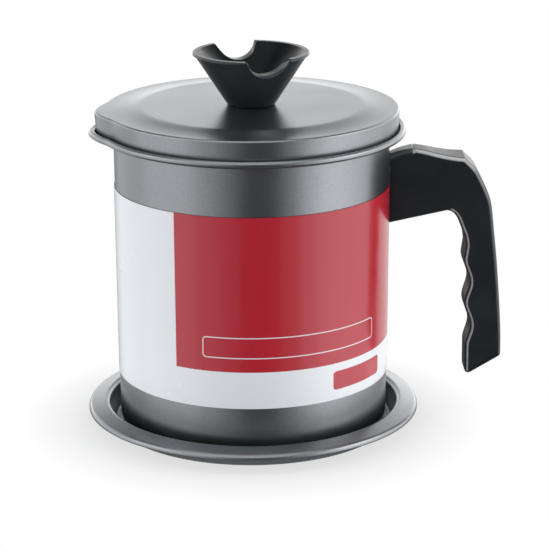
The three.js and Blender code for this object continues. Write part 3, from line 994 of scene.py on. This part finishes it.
def addFloor(s):
    bm = bmesh.new()
    bmesh.ops.create_circle(bm, cap_ends=True, segments=s["floorSteps"], radius=s["floorRadius"])
    mesh = bpy.data.meshes.new("floor")
    bm.to_mesh(mesh)
    bm.free()
    floor = bpy.data.objects.new("floor", mesh)
    bpy.context.scene.collection.objects.link(floor)
    mat, tree, shader, coords = newMaterial("tablePaper")
    shader.inputs["Base Color"].default_value = (*s["floorColour"], 1)
    shader.inputs["Roughness"].default_value = s["floorRoughness"]
    shader.inputs["Specular IOR Level"].default_value = s["floorSpecular"]
    # white paper with the shadow on it, which fades out towards the table's edge
    distance = tree.nodes.new("ShaderNodeVectorMath")
    distance.operation = "LENGTH"
    tree.links.new(coords, distance.inputs[0])
    edge = s["floorRadius"] - mm
    shade = spread(tree, distance.outputs["Value"], s["floorShade"], 0.0, s["fadeRadius"], edge)
    glow = tree.nodes.new("ShaderNodeEmission")
    mix = tree.nodes.new("ShaderNodeMixShader")
    seen, mirrored = seenShare(tree, 0.0), seenShare(tree, s["tableShare"])
    tree.links.new(mirrored, glow.inputs["Strength"])
    gloss = calc(tree, "MULTIPLY", mirrored, calc(tree, "SUBTRACT", 1, seen))
    shown = calc(tree, "MULTIPLY", seen, calc(tree, "SUBTRACT", 1, shade))
    gloss = calc(tree, "MULTIPLY", gloss, 1 / s["tableShare"])
    tree.links.new(calc(tree, "ADD", shown, gloss), mix.inputs[0])
    tree.links.new(shader.outputs[0], mix.inputs[1])
    tree.links.new(glow.outputs[0], mix.inputs[2])
    tree.links.new(mix.outputs[0], tree.nodes["Material Output"].inputs[0])
    mesh.materials.append(mat)


def setWorld(s):
    # a white backdrop behind the pot with grey flags beside it, and a dim room behind the camera
    world = bpy.data.worlds.new("studio")
    bpy.context.scene.world = world
    world.use_nodes = True
    world.cycles.sampling_method = "NONE"
    tree = world.node_tree
    coords = tree.nodes.new("ShaderNodeTexCoord")
    _, y, z = splitVector(tree, coords.outputs["Generated"])
    behind = spread(tree, y, 0.0, 1.0, *s["behindEnds"])
    card = spread(tree, y, s["flagShare"], 1.0, *s["flagEnds"])
    ceiling = spread(tree, z, 1.0, s["ceilingShare"], *s["ceilingEnds"])
    below = spread(tree, z, s["belowShare"], 1.0, *s["belowEnds"])
    share = calc(tree, "MULTIPLY", behind, card)
    share = calc(tree, "MULTIPLY", share, calc(tree, "MULTIPLY", ceiling, below))
    tree.links.new(
        blendColour(tree, seenShare(tree, share), s["room"], s["backdrop"]),
        tree.nodes["Background"].inputs[0],
    )


lampSettings = [
    # name, place, aimed at, width, height, radiance
    ("lampTop", (-0.1, -0.5, 1.2), (0, 0, 0.1), 1.6, 2.0, 1.05),
    ("lampLeft", (-1.1, -0.2, 0.8), (0, 0, 0.1), 0.8, 0.6, 1.2),
    ("lampRight", (1.1, -0.2, 0.8), (0, 0, 0.1), 0.8, 0.6, 2.0),
    ("lampBack", (0.0, 1.6, 0.3), (0, 0, 0.15), 2.6, 0.45, 1.1),
]

sideSettings = {
    "distance": 1.1,
    "spacing": 0.02,  # between one panel and the next, so that none hides another
    "middleZ": 0.05,
    "height": 1.6,
    # nested panels, so that the light fades in: degrees round from the camera's side, and radiance
    "panels": [
        (-158, -108, 0.4), (-146, -108, 0.45), (-108, -12, 0.35), (-108, -28, 0.4), (-100, -48, 0.5),
        (22, 120, 0.4), (38, 116, 0.8), (50, 98, 0.3), (56, 84, 0.35), (114, 164, 0.9),
    ],
}


def addLamp(name, place, target, width, height, radiance):
    data = bpy.data.lights.new(name, "AREA")
    data.shape = "RECTANGLE"
    data.size, data.size_y = width, height
    data.energy = radiance * pi * width * height
    lamp = bpy.data.objects.new(name, data)
    lamp.location = place
    lamp.rotation_euler = (Vector(target) - Vector(place)).to_track_quat("-Z", "Y").to_euler()
    bpy.context.scene.collection.objects.link(lamp)


def addSides(s):
    for i, (fromTurn, toTurn, radiance) in enumerate(s["panels"]):
        middle = radians((fromTurn + toTurn) / 2)
        distance = s["distance"] - i * s["spacing"]
        width = 2 * distance * tan(radians(toTurn - fromTurn) / 2)
        place = (distance * sin(middle), -distance * cos(middle), s["middleZ"])
        addLamp(f"sidePanel{i + 1}", place, (0, 0, s["middleZ"]), width, s["height"], radiance)


addFloor(stageSettings)
setWorld(stageSettings)
for lamp in lampSettings:
    addLamp(*lamp)
addSides(sideSettings)
bpy.context.scene.view_settings.view_transform = "Standard"
print("stage and light ready")
